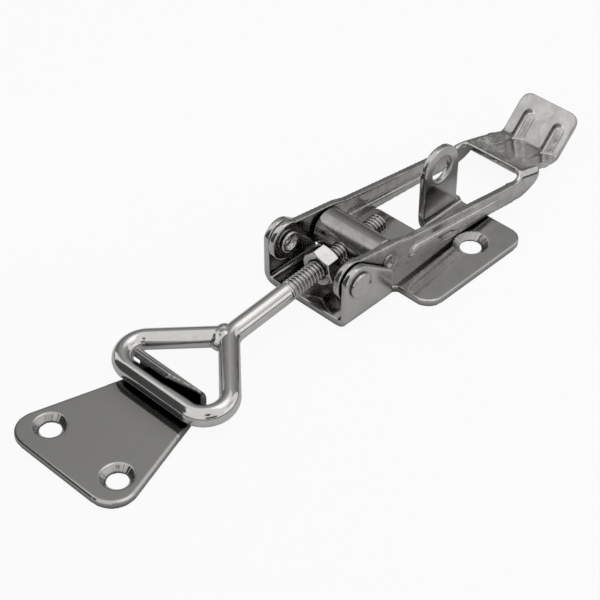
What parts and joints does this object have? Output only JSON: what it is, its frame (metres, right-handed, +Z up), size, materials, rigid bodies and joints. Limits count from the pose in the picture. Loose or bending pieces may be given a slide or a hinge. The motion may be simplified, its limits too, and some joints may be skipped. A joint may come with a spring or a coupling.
{
  "type": "over-centre hatch fastener",
  "caption": "Over-centre toggle fastener: a pivoting lever pulls a threaded bail out of a hooked strike plate; a lug takes a padlock.",
  "frame": {"origin": "on the mounting face of the base, under the middle of the lever pivot axis, with the fastener latched", "axes": "+X along the fastener from the strike plate to the lever tab; +Y across it, away from the wing; +Z up, away from the mounting face"},
  "size_m": [0.2202, 0.0522, 0.0282],
  "materials": {
    "base_steel": "polished stainless sheet",
    "rivet_steel": "polished stainless rivet",
    "lever_steel": "polished stainless sheet",
    "trunnion_steel": "turned stainless bar",
    "bolt_steel": "polished stainless wire with a rolled thread",
    "nut_steel": "bright stainless nut",
    "strike_steel": "satin stainless sheet"
  },
  "bodies": {
    "base": {"base_bracket": "base_steel", "pivot_rivet_near": "rivet_steel", "pivot_rivet_far": "rivet_steel"},
    "lever": {"lever": "lever_steel"},
    "trunnion": {"trunnion": "trunnion_steel"},
    "bolt": {"eye_bolt": "bolt_steel"},
    "nut": {"lock_nut": "nut_steel"},
    "strike": {"strike_plate": "strike_steel"}
  },
  "joints": [
    {"name": "lever_swing", "type": "hinge", "parent": "base", "child": "lever", "pos_m": [0, 0, 0.015], "axis": [0, -1, 0], "range_deg": [0, 170]},
    {"name": "trunnion_turn", "type": "hinge", "parent": "lever", "child": "trunnion", "pos_m": [0.01635, 0, 0.01212], "axis": [0, -1, 0], "range_deg": [-170, 0]},
    {"name": "bolt_screw", "type": "slide", "parent": "trunnion", "child": "bolt", "axis": [0.9971, 0, 0.0766], "range_m": [-0.004, 0.002]},
    {"name": "nut_travel", "type": "slide", "parent": "bolt", "child": "nut", "axis": [0.9971, 0, 0.0766], "range_m": [-0.008, 0.0017]},
    {"name": "strike_tilt", "type": "hinge", "parent": "bolt", "child": "strike", "pos_m": [-0.0659, 0, 0.0058], "axis": [0, -1, 0], "range_deg": [-10, 10]}
  ],
  "couplings": [
    {"joint": "trunnion_turn", "follows": "lever_swing", "ratio": -1}
  ]
}
